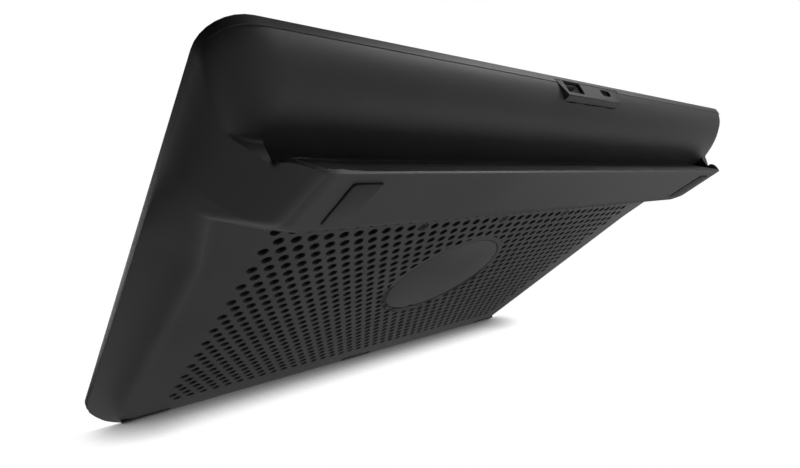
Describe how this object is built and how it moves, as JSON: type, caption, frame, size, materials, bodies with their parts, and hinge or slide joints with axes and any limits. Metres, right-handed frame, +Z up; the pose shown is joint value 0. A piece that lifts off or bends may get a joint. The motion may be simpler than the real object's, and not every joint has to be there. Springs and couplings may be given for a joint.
{
  "type": "laptop cooling pad",
  "caption": "Wedge-shaped laptop cooling pad with a perforated floor, a slim fan, a rolled rear edge with USB sockets and rubber feet.",
  "frame": {"origin": "on the desk, under the middle of the pad's bounding box", "axes": "+X along the rear edge (the USB-A socket is on the +X half), +Y to the rear, +Z up"},
  "size_m": [0.376, 0.2686, 0.0431],
  "materials": {
    "shell_plastic": "fine spark-eroded texture, matte black",
    "fan_plastic": "smooth black, slightly satin",
    "foot_rubber": "matte black rubber",
    "steel": "nickel plated or bare steel",
    "bronze": "sintered bronze",
    "magnet": "plastic-bonded ferrite, dark grey",
    "coil_wire": "enamelled copper wire",
    "circuit_board": "green solder mask",
    "white_insulation": "off-white nylon and wire insulation",
    "contact_plastic": "black glass-filled plastic"
  },
  "bodies": {
    "pad": {"bearing_sleeve": "bronze", "board_screw_1": "steel", "board_screw_2": "steel", "case_screw_1": "steel", "case_screw_2": "steel", "case_screw_3": "steel", "case_screw_4": "steel", "case_screw_5": "steel", "coil_1": "coil_wire", "coil_2": "coil_wire", "coil_3": "coil_wire", "coil_4": "coil_wire", "fan_frame": "fan_plastic", "fan_header": "white_insulation", "fan_lead": "white_insulation", "fan_plug": "white_insulation", "fan_screw_1": "steel", "fan_screw_2": "steel", "fan_screw_3": "steel", "fan_screw_4": "steel", "front_foot_centre": "foot_rubber", "front_foot_left": "foot_rubber", "front_foot_right": "foot_rubber", "hub_board": "circuit_board", "hub_cover": "shell_plastic", "laptop_stop_left": "foot_rubber", "laptop_stop_right": "foot_rubber", "lower_shell": "shell_plastic", "micro_usb_shell": "steel", "micro_usb_tongue": "contact_plastic", "motor_board": "circuit_board", "port_bezel": "shell_plastic", "rear_pad_left": "foot_rubber", "rear_pad_right": "foot_rubber", "stator_core": "steel", "top_cover": "shell_plastic", "usb_a_shell": "steel", "usb_a_tongue": "contact_plastic"},
    "fan_rotor": {"rotor": "fan_plastic", "rotor_yoke": "steel", "magnet_ring": "magnet", "shaft": "steel", "retaining_clip": "steel"}
  },
  "joints": [
    {"name": "fan_spin", "type": "hinge", "parent": "pad", "child": "fan_rotor", "pos_m": [0, -0.00709, 0.01881], "axis": [0, -0.0705, 0.9975], "continuous": true}
  ]
}
